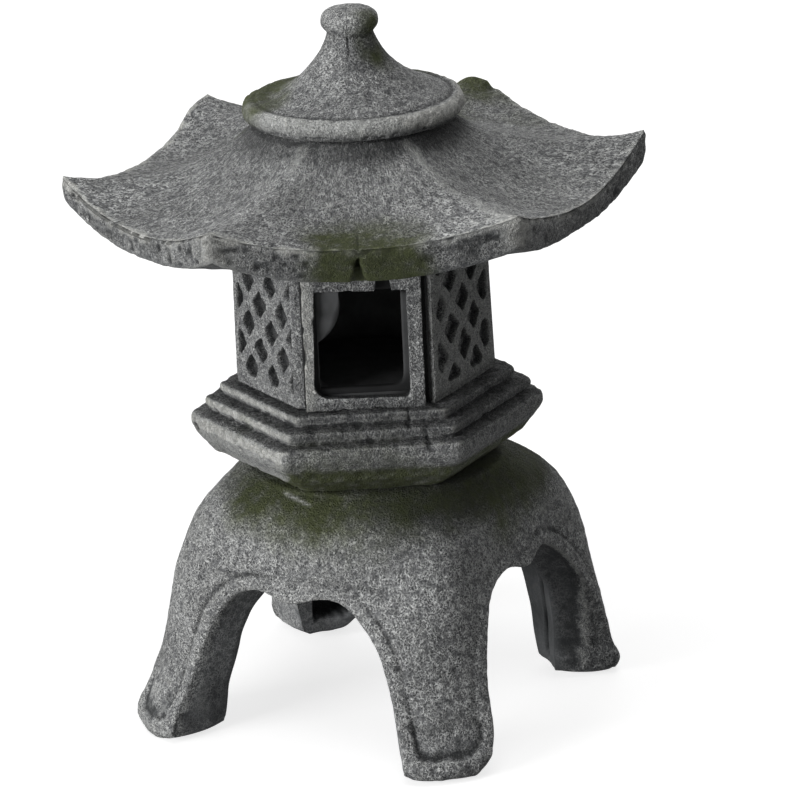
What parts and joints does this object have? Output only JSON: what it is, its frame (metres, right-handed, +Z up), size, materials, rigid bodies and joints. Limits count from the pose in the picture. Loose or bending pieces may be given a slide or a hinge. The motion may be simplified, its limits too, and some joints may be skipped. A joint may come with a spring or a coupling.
{
  "type": "garden stone lantern",
  "caption": "Squat cast-stone garden lantern: upturned hexagonal roof with finial cap, lattice-sided light box with an open window, tiered platform and a domed base on arched legs.",
  "frame": {"origin": "centre of the lantern's outline on the ground, at the underside of the feet", "axes": "+Z up, -Y the way the window looks, +X to the right of somebody who faces the window"},
  "size_m": [0.264, 0.2288, 0.33],
  "materials": {
    "cast_stone": "matte, weathered, with moss stains",
    "cast_stone_inner": "matte, dark and smooth"
  },
  "bodies": {
    "base": {"leg_base": "cast_stone"},
    "deck": {"platform": "cast_stone"},
    "chamber": {"light_box": "cast_stone_inner", "window_frame": "cast_stone", "lattice_front_left": "cast_stone", "lattice_front_right": "cast_stone", "lattice_back_left": "cast_stone", "lattice_back_right": "cast_stone", "lattice_back": "cast_stone"},
    "roof": {"roof": "cast_stone"},
    "cap": {"finial_cap": "cast_stone"}
  },
  "joints": [
    {"name": "platform_lift", "type": "slide", "parent": "base", "child": "deck", "axis": [0, 0, 1], "range_m": [0, 0.03]},
    {"name": "light_box_lift", "type": "slide", "parent": "deck", "child": "chamber", "axis": [0, 0, 1], "range_m": [0, 0.03]},
    {"name": "roof_lift", "type": "slide", "parent": "chamber", "child": "roof", "axis": [0, 0, 1], "range_m": [0, 0.03]},
    {"name": "cap_lift", "type": "slide", "parent": "roof", "child": "cap", "axis": [0, 0, 1], "range_m": [0, 0.03]}
  ]
}
